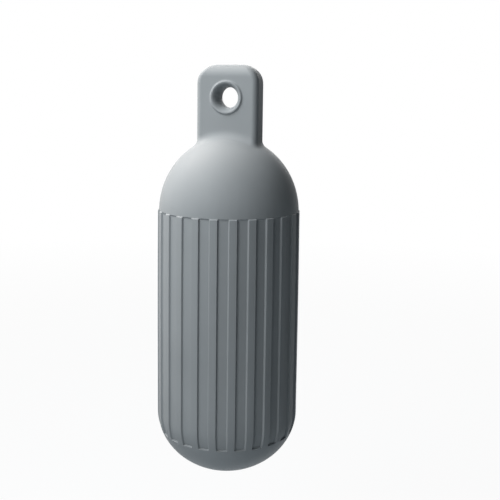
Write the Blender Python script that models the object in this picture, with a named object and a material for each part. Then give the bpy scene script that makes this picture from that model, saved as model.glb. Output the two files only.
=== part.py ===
"""Boat fender with a single eye: a ribbed, moulded vinyl body, and the inflation valve plug in its foot.

Units are metres and +Z is up. The origin is the centre of the eye, where the rope holds the fender.
The wide faces of the eye tab look along -Y and +Y. Heights are measured up from the bottom of the foot.
"""

import math

import bmesh
import bpy
from mathutils import Vector

MM = 0.001

# Body: a round foot, a nearly straight ribbed length and a domed shoulder
BODY_DIAMETER = 152.4 * MM
FOOT_HEIGHT = 66.0 * MM
STRAIGHT_LENGTH = 219.0 * MM
DOME_HEIGHT = 80.0 * MM
SHOULDER_TAPER = 0.6 * MM
WIDEST_HEIGHT = 150.0 * MM

# Ribs: raised above the dome's skin at the top, flush with the foot's skin at the bottom. A groove runs
# down the middle of each side, in line with the tab's faces and edges
RIB_COUNT = 24
RIB_WIDTH = 8.8 * MM
RIB_RISE = 1.1 * MM
GROOVE_DEPTH = 2.0 * MM
RIB_WALL_RUN = 1.0 * MM
RIB_REACH_OVER_DOME = 1.5 * MM
RIB_END_SLOPE = 0.8 * MM
GROOVE_REACH_INTO_FOOT = 20.0 * MM
GROOVE_END_SLOPE = 1.0 * MM

# Eye tab, whose top stands TAB_REACH above the dome's apex
TAB_REACH = 74.4 * MM
TAB_WIDTH = 67.5 * MM
TAB_THICKNESS = 26.0 * MM
TAB_EDGE_RADIUS = 6.0 * MM
TAB_CORNER_RADIUS = 20.0 * MM
TAB_TOP_FLAT = 1.0 * MM
FACE_FILLET = 9.0 * MM
SIDE_FILLET = 4.5 * MM

# Eye: a waisted hole with a rolled bead round each mouth
EYE_BELOW_TOP = 34.0 * MM
EYE_THROAT_RADIUS = 10.5 * MM
EYE_MOUTH_RADIUS = 14.0 * MM
BEAD_HEIGHT = 1.6 * MM
BEAD_WIDTH = 4.4 * MM
BEAD_SKIRT = 0.9 * MM

# Inflation valve plug, pressed into a stepped pocket at the middle of the foot
VALVE_FLANGE_RADIUS = 8.6 * MM
VALVE_FLANGE_THICKNESS = 2.4 * MM
VALVE_STEM_RADIUS = 5.0 * MM
VALVE_STEM_LENGTH = 11.0 * MM
VALVE_DOME = 0.5 * MM
VALVE_EDGE_RADIUS = 0.7 * MM
NEEDLE_HOLE_RADIUS = 1.1 * MM
NEEDLE_HOLE_DEPTH = 8.0 * MM
VALVE_CLEARANCE = 0.3 * MM
VALVE_SET_BACK = 0.6 * MM

# Rows of points along each stretch of the skin
FOOT_ROWS = 8
RIBBED_FOOT_ROWS = 2
STRAIGHT_ROWS = 3
DOME_ROWS = 9
FILLET_ROWS = 4
TAB_TOP_ROWS = 7
BEAD_STEPS = 6
THROAT_STEPS = 6
TURN_STEPS = 48
VALVE_FACE_STEPS = 3

SHARP_EDGE_DEGREES = 32.0
WELD_DISTANCE = 0.001 * MM

# Worked out from the sizes above
BODY_RADIUS = BODY_DIAMETER / 2
DOME_START = FOOT_HEIGHT + STRAIGHT_LENGTH
TOP = DOME_START + DOME_HEIGHT + TAB_REACH
EYE_HEIGHT = TOP - EYE_BELOW_TOP
RIB_TOP = DOME_START + RIB_REACH_OVER_DOME
GROOVE_BOTTOM = FOOT_HEIGHT - GROOVE_REACH_INTO_FOOT
DOME_RADIUS = BODY_RADIUS - SHOULDER_TAPER - RIB_RISE
POINTS_PER_RIB = 4
COLUMNS = RIB_COUNT * POINTS_PER_RIB


def clear_scene():
    for obj in list(bpy.data.objects):
        bpy.data.objects.remove(obj, do_unlink=True)


def material(name, colour, roughness):
    mat = bpy.data.materials.new(name)
    mat.use_nodes = True
    shader = mat.node_tree.nodes["Principled BSDF"]
    shader.inputs["Base Color"].default_value = (*colour, 1.0)
    shader.inputs["Roughness"].default_value = roughness
    shader.inputs["Metallic"].default_value = 0.0
    return mat


def add_object(name, bm, mat):
    """A smooth-shaded object from a bmesh, with its faces pointing out and its steep edges sharp."""
    bmesh.ops.recalc_face_normals(bm, faces=bm.faces)
    mesh = bpy.data.meshes.new(name)
    bm.to_mesh(mesh)
    bm.free()
    mesh.shade_smooth()
    mesh.set_sharp_from_angle(angle=math.radians(SHARP_EDGE_DEGREES))
    mesh.materials.append(mat)
    obj = bpy.data.objects.new(name, mesh)
    bpy.context.scene.collection.objects.link(obj)
    return obj


def straight_radius(height):
    """Radius over the ribs: widest at WIDEST_HEIGHT, and slightly less up to the shoulder."""
    rise = max(0.0, height - WIDEST_HEIGHT) / (DOME_START - WIDEST_HEIGHT)
    return BODY_RADIUS - SHOULDER_TAPER * rise ** 2


def dome_radius(height):
    return DOME_RADIUS * math.sqrt(1 - ((height - DOME_START) / DOME_HEIGHT) ** 2)


def crown_radius(height):
    """Radius of the ribs' crowns, from the foot to the ribs' upper ends."""
    if height < FOOT_HEIGHT:
        return BODY_RADIUS * math.sqrt(1 - (1 - height / FOOT_HEIGHT) ** 2)
    if height > DOME_START:
        return dome_radius(height) + RIB_RISE
    return straight_radius(height)


def rib_columns():
    """(angle, on a crown) for each column of points: a crown's two edges between the feet of its walls."""
    crown = (RIB_WIDTH - RIB_WALL_RUN) / 2 / BODY_RADIUS
    wall_foot = (RIB_WIDTH + RIB_WALL_RUN) / 2 / BODY_RADIUS
    columns = []
    for rib in range(RIB_COUNT):
        middle = (rib + 0.5) * math.tau / RIB_COUNT
        columns += [(middle - wall_foot, False), (middle - crown, True)]
        columns += [(middle + crown, True), (middle + wall_foot, False)]
    return columns


def tab_columns():
    """Where each column meets the tab's rounded outline: how far it is towards the corner centres along X
    and Y, from -1 to 1, and the direction of the outline's normal. The columns are evenly spaced along it."""
    flat_x = TAB_WIDTH - 2 * TAB_EDGE_RADIUS
    flat_y = TAB_THICKNESS - 2 * TAB_EDGE_RADIUS
    corner = math.pi / 2 * TAB_EDGE_RADIUS
    stretches = [flat_y / 2, corner, flat_x, corner, flat_y, corner, flat_x, corner, flat_y / 2]
    starts = [(1, 0), (1, 1), (1, 1), (-1, 1), (-1, 1), (-1, -1), (-1, -1), (1, -1), (1, -1)]
    ends = [(1, 1), (1, 1), (-1, 1), (-1, 1), (-1, -1), (-1, -1), (1, -1), (1, -1), (1, 0)]
    turns = [0, 0, 1, 1, 2, 2, 3, 3, 4]
    outline = sum(stretches)
    columns = []
    for column in range(COLUMNS):
        along = (column + 0.5) / COLUMNS * outline
        part = 0
        while part < len(stretches) - 1 and along > stretches[part]:
            along -= stretches[part]
            part += 1
        share = along / stretches[part]
        to_x = starts[part][0] + (ends[part][0] - starts[part][0]) * share
        to_y = starts[part][1] + (ends[part][1] - starts[part][1]) * share
        turned = turns[part] + (share if part % 2 else 0.0)
        columns.append((to_x, to_y, turned * math.pi / 2))
    return columns


def tab_ring(columns, half_width, half_thickness, edge_radius, height):
    ring = []
    for to_x, to_y, direction in columns:
        x = to_x * (half_width - edge_radius) + edge_radius * math.cos(direction)
        y = to_y * (half_thickness - edge_radius) + edge_radius * math.sin(direction)
        ring.append(Vector((x, y, height)))
    return ring


def root_fillet(direction):
    """Size of the fillet round the tab's root: widest under the faces, least under the edges."""
    return SIDE_FILLET + (FACE_FILLET - SIDE_FILLET) * math.sin(direction) ** 2


def on_dome(point):
    """The dome's skin straight above or below a point."""
    across = min(math.hypot(point.x, point.y) / DOME_RADIUS, 1.0)
    return Vector((point.x, point.y, DOME_START + DOME_HEIGHT * math.sqrt(1 - across ** 2)))


def plain_ring(columns, radius, height):
    return [Vector((radius * math.cos(a), radius * math.sin(a), height)) for a, _ in columns]


def ribbed_ring(columns, height):
    crown = crown_radius(height)
    ring = []
    for angle, on_crown in columns:
        radius = crown if on_crown else crown - GROOVE_DEPTH
        ring.append(Vector((radius * math.cos(angle), radius * math.sin(angle), height)))
    return ring


def foot_rings(columns):
    """The valve pocket from its floor outwards, then the foot's skin up to where the grooves end."""
    seat_radius = VALVE_FLANGE_RADIUS + VALVE_CLEARANCE
    bore_radius = VALVE_STEM_RADIUS + VALVE_CLEARANCE
    seat_height = VALVE_SET_BACK + VALVE_FLANGE_THICKNESS + VALVE_CLEARANCE
    floor_height = seat_height + VALVE_STEM_LENGTH
    rings = [
        plain_ring(columns, bore_radius, floor_height),
        plain_ring(columns, bore_radius, seat_height),
        plain_ring(columns, seat_radius, seat_height),
    ]
    low = math.acos(seat_radius / BODY_RADIUS)
    high = math.asin(1 - (GROOVE_BOTTOM - GROOVE_END_SLOPE / 2) / FOOT_HEIGHT)
    for row in range(FOOT_ROWS + 1):
        slope = low + (high - low) * row / FOOT_ROWS
        height = FOOT_HEIGHT * (1 - math.sin(slope))
        rings.append(plain_ring(columns, BODY_RADIUS * math.cos(slope), height))
    return rings


def ribbed_rings(columns):
    """The ribbed length, from just above the grooves' lower ends to just under the ribs' upper ends."""
    first = GROOVE_BOTTOM + GROOVE_END_SLOPE / 2
    last = RIB_TOP - RIB_END_SLOPE / 2
    steps = [(first, FOOT_HEIGHT, RIBBED_FOOT_ROWS), (FOOT_HEIGHT, DOME_START, STRAIGHT_ROWS)]
    heights = [low + (high - low) * row / rows for low, high, rows in steps for row in range(rows)]
    return [ribbed_ring(columns, height) for height in heights + [DOME_START, last]]


def dome_rings(columns, root):
    """From the ribs' upper ends to the edge of the tab's fillet, spaced evenly along the dome's skin."""
    base = math.acos((RIB_TOP + RIB_END_SLOPE / 2 - DOME_START) / DOME_HEIGHT)
    rings = []
    for row in range(DOME_ROWS):
        share = row / DOME_ROWS
        ring = []
        for (angle, _), edge in zip(columns, root):
            slope = math.asin(math.hypot(edge.x, edge.y) / DOME_RADIUS)
            turn = math.remainder(math.atan2(edge.y, edge.x) - angle, math.tau)
            down = base + (slope - base) * share
            around = angle + turn * share
            out = DOME_RADIUS * math.sin(down)
            height = DOME_START + DOME_HEIGHT * math.cos(down)
            ring.append(Vector((out * math.cos(around), out * math.sin(around), height)))
        rings.append(ring)
    return rings


def tab_rings(columns):
    """The root fillet, rolled from the dome's skin into the tab's walls, then the walls and the round top."""
    half_width = TAB_WIDTH / 2
    half_thickness = TAB_THICKNESS / 2
    top_radius = half_thickness - TAB_TOP_FLAT / 2
    wall = tab_ring(columns, half_width, half_thickness, TAB_EDGE_RADIUS, 0.0)
    rings = []
    for row in range(FILLET_ROWS + 1):
        share = row / FILLET_ROWS
        ring = []
        for foot, (_, _, direction) in zip(wall, columns):
            fillet = root_fillet(direction)
            start = on_dome(foot + Vector((math.cos(direction), math.sin(direction), 0)) * fillet)
            corner = on_dome(foot)
            end = corner + Vector((0, 0, fillet))
            ring.append(start.lerp(corner, share).lerp(corner.lerp(end, share), share))
        rings.append(ring)
    for row in range(TAB_TOP_ROWS + 1):
        rise = math.sin(math.pi / 2 * row / TAB_TOP_ROWS)
        height = TOP - TAB_CORNER_RADIUS * (1 - rise)
        into_top = max(0.0, height - (TOP - top_radius)) / top_radius
        width = half_width - TAB_CORNER_RADIUS * (1 - math.sqrt(1 - rise ** 2))
        thickness = half_thickness - top_radius * (1 - math.sqrt(1 - min(into_top, 1.0) ** 2))
        rings.append(tab_ring(columns, width, thickness, min(TAB_EDGE_RADIUS, thickness), height))
    return rings


def skin(rings):
    """A closed skin of quads through the rings, with a flat face across each end."""
    bm = bmesh.new()
    drop = Vector((0, 0, EYE_HEIGHT))
    rows = [[bm.verts.new(point - drop) for point in ring] for ring in rings]
    for lower, upper in zip(rows, rows[1:]):
        for column in range(len(lower)):
            after = (column + 1) % len(lower)
            bm.faces.new((lower[column], lower[after], upper[after], upper[column]))
    bm.faces.new(rows[0])
    bm.faces.new(rows[-1])
    return bm


def turned(profile, axis, steps=TURN_STEPS):
    """A closed solid turned from (radius, distance along the axis) points. A point on the axis is a pole."""
    bm = bmesh.new()
    side = Vector((1, 0, 0))
    verts = [bm.verts.new(side * radius + axis * along) for radius, along in profile]
    for here, there in zip(verts, verts[1:]):
        bm.edges.new((here, there))
    if profile[0][0] > 0:
        bm.edges.new((verts[-1], verts[0]))
    bmesh.ops.spin(
        bm, geom=bm.verts[:] + bm.edges[:], axis=axis, cent=(0, 0, 0), angle=math.tau, steps=steps, use_merge=True
    )
    bmesh.ops.remove_doubles(bm, verts=bm.verts, dist=WELD_DISTANCE)
    return bm


def eye_ring_profile():
    """Half of the eye's section: the waisted throat, the rolled bead, and a skirt buried in the tab."""
    face = TAB_THICKNESS / 2
    crest = face + BEAD_HEIGHT
    crest_radius = EYE_MOUTH_RADIUS + BEAD_WIDTH / 2
    half = []
    for step in range(THROAT_STEPS):
        along = face * step / THROAT_STEPS
        flare = 1 - math.sqrt(1 - (along / crest) ** 2)
        full_flare = 1 - math.sqrt(1 - (face / crest) ** 2)
        half.append((EYE_THROAT_RADIUS + (EYE_MOUTH_RADIUS - EYE_THROAT_RADIUS) * flare / full_flare, along))
    for step in range(BEAD_STEPS + 1):
        turn = math.pi * step / BEAD_STEPS
        half.append((crest_radius - BEAD_WIDTH / 2 * math.cos(turn), face + BEAD_HEIGHT * math.sin(turn)))
    half.append((crest_radius + BEAD_WIDTH / 2 + BEAD_SKIRT, face - BEAD_SKIRT))
    return half


def make_eye(body, vinyl):
    """Opens the eye through the tab, and rolls the bead round it."""
    half = eye_ring_profile()
    mirrored = [(radius, -along) for radius, along in reversed(half[1:])]
    ring = add_object("eye_ring_guide", turned(mirrored + half, Vector((0, 1, 0))), vinyl)
    clear_radius = EYE_MOUTH_RADIUS + BEAD_WIDTH / 2
    past_face = TAB_THICKNESS
    opening = [(0, -past_face), (clear_radius, -past_face), (clear_radius, past_face), (0, past_face)]
    cutter = add_object("eye_cutter", turned(opening, Vector((0, 1, 0))), vinyl)
    for helper, operation in ((cutter, "DIFFERENCE"), (ring, "UNION")):
        helper.hide_render = True
        helper.display_type = "WIRE"
        cut = body.modifiers.new(helper.name, "BOOLEAN")
        cut.operation = operation
        cut.solver = "EXACT"
        cut.object = helper


def make_body(vinyl):
    ribs = rib_columns()
    tab = tab_rings(tab_columns())
    rings = foot_rings(ribs) + ribbed_rings(ribs) + dome_rings(ribs, tab[0]) + tab
    body = add_object("fender_body", skin(rings), vinyl)
    make_eye(body, vinyl)
    return body


def valve_profile():
    """Section of the plug from the needle hole's end, out over the flange's face, and back up the stem."""
    under = VALVE_FLANGE_THICKNESS
    radius = VALVE_FLANGE_RADIUS
    edge = VALVE_EDGE_RADIUS
    profile = [(0, NEEDLE_HOLE_DEPTH), (NEEDLE_HOLE_RADIUS, NEEDLE_HOLE_DEPTH), (NEEDLE_HOLE_RADIUS, 0)]
    for step in range(1, VALVE_FACE_STEPS + 1):
        out = NEEDLE_HOLE_RADIUS + (radius - edge - NEEDLE_HOLE_RADIUS) * step / VALVE_FACE_STEPS
        profile.append((out, VALVE_DOME * (out / radius) ** 2))
    profile += [(radius, VALVE_DOME + edge), (radius, under), (VALVE_STEM_RADIUS, under)]
    profile += [(VALVE_STEM_RADIUS, under + VALVE_STEM_LENGTH - edge)]
    profile += [(VALVE_STEM_RADIUS - edge, under + VALVE_STEM_LENGTH - VALVE_CLEARANCE)]
    profile += [(0, under + VALVE_STEM_LENGTH - VALVE_CLEARANCE)]
    return profile


def make_valve_plug(rubber):
    plug = add_object("valve_plug", turned(valve_profile(), Vector((0, 0, 1))), rubber)
    plug.location.z = VALVE_SET_BACK - EYE_HEIGHT
    return plug


def main():
    clear_scene()
    vinyl = material("grey_vinyl", (0.30, 0.305, 0.31), 0.45)
    rubber = material("black_rubber", (0.03, 0.03, 0.032), 0.6)
    make_body(vinyl)
    make_valve_plug(rubber)


main()
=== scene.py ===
"""The looks of a boat fender: a moulded vinyl body with ribs and a beaded eye, and its valve plug.

Units are metres, +Z is up, and the origin is the centre of the eye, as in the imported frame. Heights are
measured up from the bottom of the foot. The wide faces of the eye tab look along -Y and +Y.
"""

import math

import bmesh
import bpy
from mathutils import Euler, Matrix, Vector


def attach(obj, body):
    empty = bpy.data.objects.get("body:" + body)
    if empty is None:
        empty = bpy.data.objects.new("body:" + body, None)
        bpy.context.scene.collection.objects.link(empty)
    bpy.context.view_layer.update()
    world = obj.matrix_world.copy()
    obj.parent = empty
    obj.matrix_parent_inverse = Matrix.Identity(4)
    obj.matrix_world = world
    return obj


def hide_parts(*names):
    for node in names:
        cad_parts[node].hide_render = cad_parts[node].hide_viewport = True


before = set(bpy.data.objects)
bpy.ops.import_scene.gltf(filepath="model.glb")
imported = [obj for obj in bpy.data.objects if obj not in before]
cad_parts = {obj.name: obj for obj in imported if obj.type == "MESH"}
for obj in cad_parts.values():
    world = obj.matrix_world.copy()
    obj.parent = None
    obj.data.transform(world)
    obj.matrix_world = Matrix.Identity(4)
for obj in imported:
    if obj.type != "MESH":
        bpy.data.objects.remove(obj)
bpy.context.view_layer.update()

MM = 0.001

# Body, as in the part's own frame
BODY_RADIUS = 76.2 * MM
FOOT_HEIGHT = 66.0 * MM
DOME_START = 285.0 * MM
DOME_HEIGHT = 80.0 * MM
SHOULDER_TAPER = 0.6 * MM
WIDEST_HEIGHT = 150.0 * MM
RIB_COUNT = 24
RIB_WIDTH = 8.8 * MM
RIB_RISE = 1.1 * MM
GROOVE_DEPTH = 2.0 * MM
RIB_WALL_RUN = 1.0 * MM
RIB_TOP = 286.5 * MM
RIB_END_SLOPE = 0.8 * MM
GROOVE_BOTTOM = 46.0 * MM
GROOVE_END_SLOPE = 1.0 * MM
DOME_RADIUS = BODY_RADIUS - SHOULDER_TAPER - RIB_RISE

# Eye tab and eye
TOP = 439.4 * MM
EYE_HEIGHT = 405.4 * MM
TAB_WIDTH = 67.5 * MM
TAB_THICKNESS = 26.0 * MM
TAB_EDGE_RADIUS = 6.0 * MM
TAB_CORNER_RADIUS = 20.0 * MM
TAB_TOP_FLAT = 1.0 * MM
FACE_FILLET = 9.0 * MM
SIDE_FILLET = 4.5 * MM
EYE_THROAT_RADIUS = 10.5 * MM
EYE_CREST_RADIUS = 16.0 * MM
EYE_RIM_RADIUS = 19.2 * MM
BEAD_HEIGHT = 1.6 * MM

# Handles of the curves that run from the eye's rim over the bead's crest to the throat
RIM_HANDLE = 2.4 * MM
CREST_OUTER_HANDLE = 1.6 * MM
CREST_INNER_HANDLE = 2.6 * MM
THROAT_HANDLE = 8.0 * MM

# Valve pocket and plug
POCKET_SEAT_RADIUS = 8.9 * MM
POCKET_BORE_RADIUS = 5.3 * MM
POCKET_SEAT_HEIGHT = 3.3 * MM
POCKET_FLOOR_HEIGHT = 14.3 * MM
POCKET_LIP = 0.5 * MM
PLUG_FACE_HEIGHT = 0.6 * MM
PLUG_FACE_DOME = 0.5 * MM
PLUG_FLANGE_RADIUS = 8.6 * MM
PLUG_FLANGE_TOP = 3.0 * MM
PLUG_EDGE_RADIUS = 0.7 * MM
PLUG_STEM_RADIUS = 5.0 * MM
PLUG_STEM_TOP = 13.7 * MM
NEEDLE_HOLE_RADIUS = 1.1 * MM
NEEDLE_HOLE_TOP = 8.6 * MM
NEEDLE_HOLE_LIP = 0.3 * MM

# Where points cross a rib's wall or end, in its own runs from the middle of the slope. The outermost lie
# just off it, so that the flats beside it shade flat
STEP_PLACES = (-0.9, -0.6, -0.4, -0.2, 0.0, 0.2, 0.4, 0.6, 0.9)
COLUMNS = RIB_COUNT * (2 * len(STEP_PLACES) + 2)

# Rows of points along each stretch of the skin, from the pocket's lip to the tab's top
POCKET_LIP_ROWS = 4
FOOT_ROWS = 26
RIBBED_FOOT_ROWS = 6
STRAIGHT_ROWS = 10
DOME_ROWS = 28
FILLET_ROWS = 10
TAB_ROOT_ROWS = 5
EYE_ROWS = 40
EYE_ROWS_MARGIN = 1.0 * MM
TAB_SHOULDER_ROWS = 6
TAB_TOP_ROWS = 16
BEAD_STEPS = 9
THROAT_STEPS = 14
PLUG_STEPS_AROUND = 72
PLUG_FACE_ROWS = 6
PLUG_EDGE_STEPS = 5

SHARP_EDGE_DEGREES = 50.0
ON_FACE_DISTANCE = 0.01 * MM

# Points this near to each other are one: the tab's narrow sides shrink to a line towards its rounded top
WELD_DISTANCE = 0.001 * MM


def smooth_step(low, high, value):
    share = min(max((value - low) / (high - low), 0.0), 1.0)
    return share * share * (3 - 2 * share)


def step_share(place):
    """From 0 to 1 up a rib's wall or end."""
    return smooth_step(STEP_PLACES[1], STEP_PLACES[-2], place)


def spaced(low, high, count):
    """Evenly spaced values from low up to, and without, high."""
    return [low + (high - low) * step / count for step in range(count)]


def bezier(start, leave, arrive, end, steps):
    """Points of a cubic curve, its start left out."""
    points = []
    for step in range(1, steps + 1):
        t = step / steps
        s = 1 - t
        points.append(tuple(
            s ** 3 * a + 3 * s * s * t * b + 3 * s * t * t * c + t ** 3 * d
            for a, b, c, d in zip(start, leave, arrive, end)
        ))
    return points


# Skin of the body

def dome_radius(height):
    return DOME_RADIUS * math.sqrt(1 - ((height - DOME_START) / DOME_HEIGHT) ** 2)


def crown_radius(height):
    """Radius over the ribs' crowns."""
    if height < FOOT_HEIGHT:
        return BODY_RADIUS * math.sqrt(1 - (1 - height / FOOT_HEIGHT) ** 2)
    if height > DOME_START:
        return dome_radius(height) + RIB_RISE
    rise = max(0.0, height - WIDEST_HEIGHT) / (DOME_START - WIDEST_HEIGHT)
    return BODY_RADIUS - SHOULDER_TAPER * rise ** 2


def skin_radius(height, crown):
    """Radius of the skin at a height. crown is 1 on a rib's crown, 0 on a groove's floor."""
    grooved = step_share((height - GROOVE_BOTTOM) / GROOVE_END_SLOPE)
    ribbed = crown_radius(height) - GROOVE_DEPTH * (1 - crown) * grooved
    past_ribs = step_share((height - RIB_TOP) / RIB_END_SLOPE)
    if past_ribs == 0.0:
        return ribbed
    return ribbed + (dome_radius(height) - ribbed) * past_ribs


def rib_columns():
    """(angle, crown) for each column of points, where crown falls from 1 to 0 down a rib's wall."""
    walls = [RIB_WIDTH / 2 + RIB_WALL_RUN * place for place in STEP_PLACES]
    half_pitch = math.pi * BODY_RADIUS / RIB_COUNT
    offsets = [-wall for wall in reversed(walls)] + [0.0] + walls + [half_pitch]
    columns = []
    for rib in range(RIB_COUNT):
        for offset in offsets:
            crown = 1 - step_share((abs(offset) - RIB_WIDTH / 2) / RIB_WALL_RUN)
            columns.append(((rib + 0.5) * math.tau / RIB_COUNT + offset / BODY_RADIUS, crown))
    return columns


def body_heights():
    """Heights of the rows from the foot's pocket to just above the ribs."""
    lip = math.acos((POCKET_SEAT_RADIUS + POCKET_LIP) / BODY_RADIUS)
    groove_ends = [GROOVE_BOTTOM + GROOVE_END_SLOPE * place for place in STEP_PLACES]
    below, above = (math.asin(1 - height / FOOT_HEIGHT) for height in (groove_ends[0], groove_ends[-1]))
    heights = [FOOT_HEIGHT * (1 - math.sin(slope)) for slope in spaced(lip, below, FOOT_ROWS)]
    heights += groove_ends
    heights += [FOOT_HEIGHT * (1 - math.sin(slope)) for slope in spaced(above, 0.0, RIBBED_FOOT_ROWS)[1:]]
    heights += spaced(FOOT_HEIGHT, DOME_START, STRAIGHT_ROWS)
    heights += [RIB_TOP + RIB_END_SLOPE * place for place in STEP_PLACES]
    return heights


def round_ring(angles, radius, height):
    return [(radius * math.cos(angle), radius * math.sin(angle), height) for angle in angles]


def pocket_rings(angles):
    """The valve pocket from its floor down and out to the rounded lip in the foot."""
    rings = [
        round_ring(angles, POCKET_BORE_RADIUS, POCKET_FLOOR_HEIGHT),
        round_ring(angles, POCKET_BORE_RADIUS, POCKET_SEAT_HEIGHT),
        round_ring(angles, POCKET_SEAT_RADIUS, POCKET_SEAT_HEIGHT),
    ]
    outer = POCKET_SEAT_RADIUS + POCKET_LIP
    skin_height = FOOT_HEIGHT * (1 - math.sqrt(1 - (outer / BODY_RADIUS) ** 2))
    for turn in spaced(0.0, math.pi / 2, POCKET_LIP_ROWS):
        radius = outer - POCKET_LIP * math.cos(turn)
        rings.append(round_ring(angles, radius, skin_height + POCKET_LIP * (1 - math.sin(turn))))
    return rings


def body_rings(columns):
    rings = []
    for height in body_heights():
        ring = []
        for angle, crown in columns:
            radius = skin_radius(height, crown)
            ring.append((radius * math.cos(angle), radius * math.sin(angle), height))
        rings.append(ring)
    return rings


# Eye tab

def tab_columns():
    """Where each column meets the tab's rounded outline: how far it is towards the corner centres along X
    and Y, from -1 to 1, and the direction of the outline's normal. The columns are evenly spaced."""
    flat_x = TAB_WIDTH - 2 * TAB_EDGE_RADIUS
    flat_y = TAB_THICKNESS - 2 * TAB_EDGE_RADIUS
    corner_arc = math.pi / 2 * TAB_EDGE_RADIUS
    flats = [flat_y / 2, flat_x, flat_y, flat_x, flat_y / 2]
    stops = [(1, 0), (1, 1), (-1, 1), (-1, -1), (1, -1), (1, 0)]
    parts = []
    for turns, flat in enumerate(flats):
        parts.append((flat, stops[turns], stops[turns + 1], turns, turns))
        parts.append((corner_arc, stops[turns + 1], stops[turns + 1], turns, turns + 1))
    parts.pop()
    outline = sum(part[0] for part in parts)
    columns = []
    for column in range(COLUMNS):
        along = ((column + 1) / COLUMNS % 1.0) * outline
        for length, start, end, turns, turns_after in parts:
            if along <= length:
                break
            along -= length
        share = along / length
        to_x = start[0] + (end[0] - start[0]) * share
        to_y = start[1] + (end[1] - start[1]) * share
        turned = turns + (turns_after - turns) * share
        columns.append((to_x, to_y, turned * math.pi / 2))
    return columns


def tab_ring(columns, half_width, half_thickness, edge_radius, height):
    ring = []
    for to_x, to_y, direction in columns:
        x = to_x * (half_width - edge_radius) + edge_radius * math.cos(direction)
        y = to_y * (half_thickness - edge_radius) + edge_radius * math.sin(direction)
        ring.append((x, y, height))
    return ring


def dome_height(x, y):
    across = min(math.hypot(x, y) / DOME_RADIUS, 1.0)
    return DOME_START + DOME_HEIGHT * math.sqrt(1 - across ** 2)


def root_rings(columns):
    """The fillet that rolls from the dome's skin into the tab's walls: widest under the faces."""
    wall = tab_ring(columns, TAB_WIDTH / 2, TAB_THICKNESS / 2, TAB_EDGE_RADIUS, 0.0)
    rings = []
    for step in range(FILLET_ROWS + 1):
        share = step / FILLET_ROWS
        ring = []
        for (x, y, _), (_, _, direction) in zip(wall, columns):
            fillet = SIDE_FILLET + (FACE_FILLET - SIDE_FILLET) * math.sin(direction) ** 2
            out_x = x + fillet * math.cos(direction)
            out_y = y + fillet * math.sin(direction)
            start = Vector((out_x, out_y, dome_height(out_x, out_y)))
            corner = Vector((x, y, dome_height(x, y)))
            end = corner + Vector((0, 0, fillet))
            ring.append(tuple(start.lerp(corner, share).lerp(corner.lerp(end, share), share)))
        rings.append(ring)
    return rings


def dome_rings(columns, root):
    """From just above the ribs to the edge of the tab's fillet, spaced evenly along the dome's skin."""
    base = math.acos((body_heights()[-1] - DOME_START) / DOME_HEIGHT)
    rings = []
    for step in range(1, DOME_ROWS):
        share = step / DOME_ROWS
        ring = []
        for (angle, _), (edge_x, edge_y, _) in zip(columns, root):
            slope = math.asin(math.hypot(edge_x, edge_y) / DOME_RADIUS)
            turn = math.remainder(math.atan2(edge_y, edge_x) - angle, math.tau)
            down = base + (slope - base) * share
            around = angle + turn * smooth_step(0.0, 1.0, share)
            out = DOME_RADIUS * math.sin(down)
            height = DOME_START + DOME_HEIGHT * math.cos(down)
            ring.append((out * math.cos(around), out * math.sin(around), height))
        rings.append(ring)
    return rings


def tab_rings(columns):
    """The tab's walls above the fillet, in rows fine enough to open the eye in, and its rounded top."""
    half_width = TAB_WIDTH / 2
    half_thickness = TAB_THICKNESS / 2
    shoulder = TOP - TAB_CORNER_RADIUS
    top_radius = half_thickness - TAB_TOP_FLAT / 2
    edge = TOP - top_radius
    eye_foot = EYE_HEIGHT - EYE_RIM_RADIUS - EYE_ROWS_MARGIN
    root_top = DOME_START + DOME_HEIGHT + FACE_FILLET
    heights = spaced(root_top, eye_foot, TAB_ROOT_ROWS)
    heights += spaced(eye_foot, shoulder, EYE_ROWS)
    heights += spaced(shoulder, edge, TAB_SHOULDER_ROWS)
    quarter_turns = [math.pi / 2 * step / TAB_TOP_ROWS for step in range(TAB_TOP_ROWS + 1)]
    heights += [edge + top_radius * math.sin(turn) for turn in quarter_turns]
    rings = []
    for height in heights:
        rise = max(0.0, height - shoulder) / TAB_CORNER_RADIUS
        into_top = max(0.0, height - edge) / top_radius
        width = half_width - TAB_CORNER_RADIUS * (1 - math.sqrt(1 - min(rise, 1.0) ** 2))
        thickness = half_thickness - top_radius * (1 - math.sqrt(1 - min(into_top, 1.0) ** 2))
        rings.append(tab_ring(columns, width, thickness, min(TAB_EDGE_RADIUS, thickness), height))
    return rings


# Eye

def eye_lining():
    """(radius, distance from the middle plane) from the front rim, over the bead and through the throat, to
    the back."""
    face = TAB_THICKNESS / 2
    crest = face + BEAD_HEIGHT
    rim = (EYE_RIM_RADIUS, face)
    top = (EYE_CREST_RADIUS, crest)
    throat = (EYE_THROAT_RADIUS, 0.0)
    off_rim = (EYE_RIM_RADIUS - RIM_HANDLE, face)
    up_to_crest = (EYE_CREST_RADIUS + CREST_OUTER_HANDLE, crest)
    off_crest = (EYE_CREST_RADIUS - CREST_INNER_HANDLE, crest)
    into_throat = (EYE_THROAT_RADIUS, THROAT_HANDLE)
    half = bezier(rim, off_rim, up_to_crest, top, BEAD_STEPS)
    half += bezier(top, off_crest, into_throat, throat, THROAT_STEPS)
    front = [(radius, -along) for radius, along in half]
    back = [(radius, along) for radius, along in reversed(half[:-1])]
    return front + back


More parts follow.
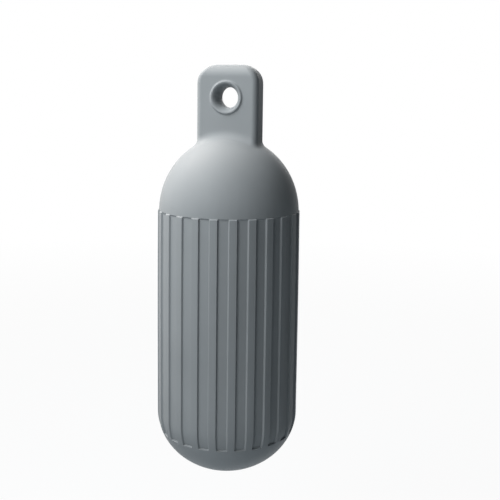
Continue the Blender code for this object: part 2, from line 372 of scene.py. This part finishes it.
def open_eye(bm):
    """Takes the skin out inside the eye's rim on both faces, and rolls the lining between the two edges."""
    face = TAB_THICKNESS / 2

    def in_rim(vert):
        across = math.hypot(vert.co.x, vert.co.z)
        return abs(abs(vert.co.y) - face) < ON_FACE_DISTANCE and across < EYE_RIM_RADIUS

    inside = [f for f in bm.faces if all(in_rim(vert) for vert in f.verts)]
    bmesh.ops.delete(bm, geom=inside, context="FACES")
    rim = {vert for edge in bm.edges if edge.is_boundary for vert in edge.verts}
    for vert in rim:
        scale = EYE_RIM_RADIUS / math.hypot(vert.co.x, vert.co.z)
        vert.co.x *= scale
        vert.co.z *= scale

    def around(vert):
        return math.atan2(vert.co.z, vert.co.x)

    front = sorted((vert for vert in rim if vert.co.y < 0), key=around)
    back = sorted((vert for vert in rim if vert.co.y > 0), key=around)
    lining = eye_lining()
    columns = []
    for near, far in zip(front, back):
        turn = around(near)
        between = [bm.verts.new((r * math.cos(turn), y, r * math.sin(turn))) for r, y in lining]
        columns.append([near] + between + [far])
    for column, after in zip(columns, columns[1:] + columns[:1]):
        for low in range(len(column) - 1):
            bm.faces.new((column[low], column[low + 1], after[low + 1], after[low]))


# Pieces

def skin_over(rings):
    """A closed mesh whose skin runs over closed rings of points, with a face across the first and last."""
    bm = bmesh.new()
    rows = [[bm.verts.new((x, y, height - EYE_HEIGHT)) for x, y, height in ring] for ring in rings]
    for lower, upper in zip(rows, rows[1:]):
        for column in range(len(lower)):
            after = (column + 1) % len(lower)
            bm.faces.new((lower[column], lower[after], upper[after], upper[column]))
    bm.faces.new(rows[0])
    bm.faces.new(rows[-1])
    return bm


def finish_mesh(name, bm, mat):
    bmesh.ops.recalc_face_normals(bm, faces=bm.faces)
    mesh = bpy.data.meshes.new(name)
    bm.to_mesh(mesh)
    bm.free()
    mesh.shade_smooth()
    mesh.set_sharp_from_angle(angle=math.radians(SHARP_EDGE_DEGREES))
    mesh.materials.append(mat)
    obj = bpy.data.objects.new(name, mesh)
    bpy.context.scene.collection.objects.link(obj)
    return obj


def make_body(mat):
    ribs = rib_columns()
    tab = tab_columns()
    root = root_rings(tab)
    pocket = pocket_rings([angle for angle, _ in ribs])
    bm = skin_over(pocket + body_rings(ribs) + dome_rings(ribs, root[0]) + root + tab_rings(tab))
    bmesh.ops.remove_doubles(bm, verts=bm.verts, dist=WELD_DISTANCE)
    open_eye(bm)
    body = finish_mesh("fender_moulding", bm, mat)
    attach(body, "root")
    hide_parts("fender_body")
    return body


# Valve plug

def arc(centre, radius, first, last):
    """Points of a section's arc, from one direction in degrees to another."""
    points = []
    for step in range(PLUG_EDGE_STEPS + 1):
        turn = math.radians(first + (last - first) * step / PLUG_EDGE_STEPS)
        points.append((centre[0] + radius * math.cos(turn), centre[1] + radius * math.sin(turn)))
    return points


def plug_face(out):
    """Height of the flange's domed face at a distance from the axis."""
    return PLUG_FACE_HEIGHT + PLUG_FACE_DOME * (out / PLUG_FLANGE_RADIUS) ** 2


def plug_section():
    """(radius, height) from the needle hole's end, out over the flange's face, and up the stem."""
    lip = NEEDLE_HOLE_RADIUS + NEEDLE_HOLE_LIP
    rim = PLUG_FLANGE_RADIUS - PLUG_EDGE_RADIUS
    tip = PLUG_STEM_RADIUS - PLUG_EDGE_RADIUS
    section = [(NEEDLE_HOLE_RADIUS, NEEDLE_HOLE_TOP)]
    section += arc((lip, plug_face(lip) + NEEDLE_HOLE_LIP), NEEDLE_HOLE_LIP, 180, 270)
    section += [(out, plug_face(out)) for out in spaced(lip, rim, PLUG_FACE_ROWS)[1:]]
    section += arc((rim, plug_face(rim) + PLUG_EDGE_RADIUS), PLUG_EDGE_RADIUS, 270, 360)
    section += [(PLUG_FLANGE_RADIUS, PLUG_FLANGE_TOP), (PLUG_STEM_RADIUS, PLUG_FLANGE_TOP)]
    section += arc((tip, PLUG_STEM_TOP - PLUG_EDGE_RADIUS), PLUG_EDGE_RADIUS, 0, 90)
    return section


def make_plug(mat):
    angles = [math.tau * step / PLUG_STEPS_AROUND for step in range(PLUG_STEPS_AROUND)]
    bm = skin_over([round_ring(angles, radius, height) for radius, height in plug_section()])
    plug = finish_mesh("valve_plug_turned", bm, mat)
    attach(plug, "root")
    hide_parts("valve_plug")
    return plug


# Materials

WHITE = (1.0, 1.0, 1.0, 1.0)
NOISE_MIDDLE = (0.3, 0.7)


def principled(name):
    mat = bpy.data.materials.new(name)
    mat.use_nodes = True
    return mat, mat.node_tree.nodes, mat.node_tree.links, mat.node_tree.nodes["Principled BSDF"]


def noise(nodes, links, scale, detail):
    """A noise texture in the object's own metres."""
    coordinates = nodes.new("ShaderNodeTexCoord")
    texture = nodes.new("ShaderNodeTexNoise")
    texture.inputs["Scale"].default_value = scale
    texture.inputs["Detail"].default_value = detail
    links.new(coordinates.outputs["Object"], texture.inputs["Vector"])
    return texture.outputs["Fac"]


def colour_between(nodes, links, factor, first, second):
    """From one colour to the other over the middle of a noise, where most of it lies."""
    ramp = nodes.new("ShaderNodeValToRGB")
    ramp.color_ramp.elements[0].position = NOISE_MIDDLE[0]
    ramp.color_ramp.elements[1].position = NOISE_MIDDLE[1]
    ramp.color_ramp.elements[0].color = (*first, 1.0)
    ramp.color_ramp.elements[1].color = (*second, 1.0)
    links.new(factor, ramp.inputs["Fac"])
    return ramp.outputs["Color"]


def remapped(nodes, links, factor, low, high):
    remap = nodes.new("ShaderNodeMapRange")
    remap.inputs["To Min"].default_value = low
    remap.inputs["To Max"].default_value = high
    links.new(factor, remap.inputs["Value"])
    return remap.outputs["Result"]


def bumped(nodes, links, height, distance, strength, under=None):
    bump = nodes.new("ShaderNodeBump")
    bump.inputs["Distance"].default_value = distance
    bump.inputs["Strength"].default_value = strength
    links.new(height, bump.inputs["Height"])
    if under is not None:
        links.new(under, bump.inputs["Normal"])
    return bump.outputs["Normal"]


def vinyl_material():
    """Satin grey moulded vinyl: a fine grain, a slow waviness from the mould and an uneven gloss."""
    mat, nodes, links, shader = principled("grey_vinyl")
    cloudy = noise(nodes, links, scale=14.0, detail=3.0)
    grain = noise(nodes, links, scale=2600.0, detail=2.0)
    wave = noise(nodes, links, scale=22.0, detail=2.0)
    colour = colour_between(nodes, links, cloudy, first=(0.262, 0.280, 0.290), second=(0.285, 0.304, 0.315))
    links.new(colour, shader.inputs["Base Color"])
    links.new(remapped(nodes, links, cloudy, low=0.40, high=0.52), shader.inputs["Roughness"])
    waved = bumped(nodes, links, wave, distance=0.4 * MM, strength=0.35)
    grained = bumped(nodes, links, grain, distance=0.04 * MM, strength=0.35, under=waved)
    links.new(grained, shader.inputs["Normal"])
    shader.inputs["Specular IOR Level"].default_value = 0.04
    return mat


def rubber_material():
    """Matt black moulded rubber with a fine grain."""
    mat, nodes, links, shader = principled("black_rubber")
    grain = noise(nodes, links, scale=1500.0, detail=3.0)
    colour = colour_between(nodes, links, grain, first=(0.022, 0.022, 0.024), second=(0.040, 0.040, 0.042))
    links.new(colour, shader.inputs["Base Color"])
    links.new(remapped(nodes, links, grain, low=0.5, high=0.7), shader.inputs["Roughness"])
    grained = bumped(nodes, links, grain, distance=0.05 * MM, strength=0.4)
    links.new(grained, shader.inputs["Normal"])
    return mat


def seen_white(nodes, links):
    """1 for a ray from the camera, in a reflection or through glass, and 0 for one that lights a surface."""
    path = nodes.new("ShaderNodeLightPath")
    seen = path.outputs["Is Camera Ray"]
    for kind in ("Is Glossy Ray", "Is Transmission Ray"):
        either = nodes.new("ShaderNodeMath")
        either.operation = "MAXIMUM"
        links.new(seen, either.inputs[0])
        links.new(path.outputs[kind], either.inputs[1])
        seen = either.outputs[0]
    return seen


# How white the floor is to the camera under the fender, and over which distances it turns fully white
FLOOR_WHITE_NEAR = 0.93
FLOOR_SHADE_REACH = (0.5, 2.5)


def floor_material():
    """White to the camera and in reflections. Near the fender a little real shading stays, for its shadow,
    and it fades outward, so that the floor meets the white world without a line."""
    mat, nodes, links, shader = principled("pale_floor")
    shader.inputs["Base Color"].default_value = (0.44, 0.49, 0.53, 1.0)
    shader.inputs["Roughness"].default_value = 0.8
    glow = nodes.new("ShaderNodeEmission")
    glow.inputs["Color"].default_value = WHITE
    glow.inputs["Strength"].default_value = 1.0
    place = nodes.new("ShaderNodeTexCoord")
    away = nodes.new("ShaderNodeVectorMath")
    away.operation = "LENGTH"
    links.new(place.outputs["Object"], away.inputs[0])
    fade = nodes.new("ShaderNodeMapRange")
    fade.inputs["From Min"].default_value = FLOOR_SHADE_REACH[0]
    fade.inputs["From Max"].default_value = FLOOR_SHADE_REACH[1]
    fade.inputs["To Min"].default_value = FLOOR_WHITE_NEAR
    fade.inputs["To Max"].default_value = 1.0
    links.new(away.outputs["Value"], fade.inputs["Value"])
    share = nodes.new("ShaderNodeMath")
    share.operation = "MULTIPLY"
    links.new(seen_white(nodes, links), share.inputs[0])
    links.new(fade.outputs["Result"], share.inputs[1])
    mix = nodes.new("ShaderNodeMixShader")
    links.new(share.outputs[0], mix.inputs["Fac"])
    links.new(shader.outputs["BSDF"], mix.inputs[1])
    links.new(glow.outputs["Emission"], mix.inputs[2])
    links.new(mix.outputs["Shader"], nodes["Material Output"].inputs["Surface"])
    return mat


# Stage, light and camera

FLOOR_BELOW_FOOT = 180.0 * MM
FLOOR_HALF_WIDTH = 12.0
FLOOR_SQUARES = 8


def make_floor():
    bm = bmesh.new()
    bmesh.ops.create_grid(bm, x_segments=FLOOR_SQUARES, y_segments=FLOOR_SQUARES, size=FLOOR_HALF_WIDTH)
    floor = finish_mesh("floor", bm, floor_material())
    floor.location.z = -EYE_HEIGHT - FLOOR_BELOW_FOOT


def make_world():
    """White to the camera and in reflections, and a faint cool fill on surfaces."""
    world = bpy.data.worlds.new("studio")
    world.use_nodes = True
    nodes = world.node_tree.nodes
    links = world.node_tree.links
    soft = nodes["Background"]
    soft.inputs["Color"].default_value = (0.7, 0.88, 1.0, 1.0)
    soft.inputs["Strength"].default_value = 0.03
    white = nodes.new("ShaderNodeBackground")
    white.inputs["Color"].default_value = WHITE
    white.inputs["Strength"].default_value = 1.0
    mix = nodes.new("ShaderNodeMixShader")
    links.new(seen_white(nodes, links), mix.inputs["Fac"])
    links.new(soft.outputs["Background"], mix.inputs[1])
    links.new(white.outputs["Background"], mix.inputs[2])
    links.new(mix.outputs["Shader"], nodes["World Output"].inputs["Surface"])
    bpy.context.scene.world = world


SHOULDER = Vector((0.0, 0.0, -80.0 * MM))
WARM = (1.0, 0.91, 0.85)
COOL = (0.97, 0.99, 1.0)
NEUTRAL = (1.0, 1.0, 1.0)


def area_light(name, direction, distance, size, watts, colour):
    """A lamp that looks at the shoulder from a direction: its azimuth, 0 towards -Y and 90 towards +X, and
    its elevation, in degrees."""
    azimuth, elevation = (math.radians(degrees) for degrees in direction)
    level = math.cos(elevation)
    toward = Vector((math.sin(azimuth) * level, -math.cos(azimuth) * level, math.sin(elevation)))
    data = bpy.data.lights.new(name, "AREA")
    data.shape = "RECTANGLE"
    data.size, data.size_y = size
    data.energy = watts
    data.color = colour
    lamp = bpy.data.objects.new(name, data)
    lamp.location = SHOULDER + toward * distance
    lamp.rotation_euler = (-toward).to_track_quat("-Z", "Y").to_euler()
    bpy.context.scene.collection.objects.link(lamp)


def make_lights():
    """Soft lamps on the left, high and low in front, and a weak one behind for the back."""
    area_light("side", (-100.0, 50.0), distance=0.8, size=(0.45, 0.45), watts=8.6, colour=WARM)
    area_light("key", (-45.0, 50.0), distance=0.8, size=(0.45, 0.45), watts=6.6, colour=COOL)
    area_light("front", (-17.0, 24.0), distance=1.15, size=(0.6, 0.45), watts=6.0, colour=COOL)
    area_light("back", (190.0, 25.0), distance=1.1, size=(0.8, 0.8), watts=5.0, colour=NEUTRAL)


# Camera, fitted to the photograph's outline, ribs and eye
CAMERA_AZIMUTH = 19.25
CAMERA_DISTANCE = 901.0 * MM
CAMERA_ABOVE_EYE = 7.0 * MM
CAMERA_PITCH = -8.3
CAMERA_YAW = -1.43
CAMERA_ROLL = 0.77
FOCAL_PIXELS = 850.0
FRAME_PIXELS = 500
SENSOR_WIDTH = 36.0
FRAME_DROP = -0.07
CAMERA_REACH = 50.0


def make_camera():
    data = bpy.data.cameras.new("camera")
    data.sensor_width = SENSOR_WIDTH
    data.lens = SENSOR_WIDTH * FOCAL_PIXELS / FRAME_PIXELS
    data.shift_y = FRAME_DROP
    data.clip_end = CAMERA_REACH
    camera = bpy.data.objects.new("camera", data)
    azimuth = math.radians(CAMERA_AZIMUTH)
    camera.location = (
        CAMERA_DISTANCE * math.sin(azimuth),
        -CAMERA_DISTANCE * math.cos(azimuth),
        CAMERA_ABOVE_EYE,
    )
    aim = Euler((math.radians(90 + CAMERA_PITCH), 0.0, azimuth + math.radians(CAMERA_YAW)))
    roll = Euler((0.0, 0.0, math.radians(CAMERA_ROLL)))
    camera.rotation_euler = (aim.to_matrix() @ roll.to_matrix()).to_euler()
    bpy.context.scene.collection.objects.link(camera)
    bpy.context.scene.camera = camera


bpy.context.scene.view_settings.view_transform = "Standard"
make_world()
make_floor()
make_lights()
make_camera()
make_body(vinyl_material())
make_plug(rubber_material())
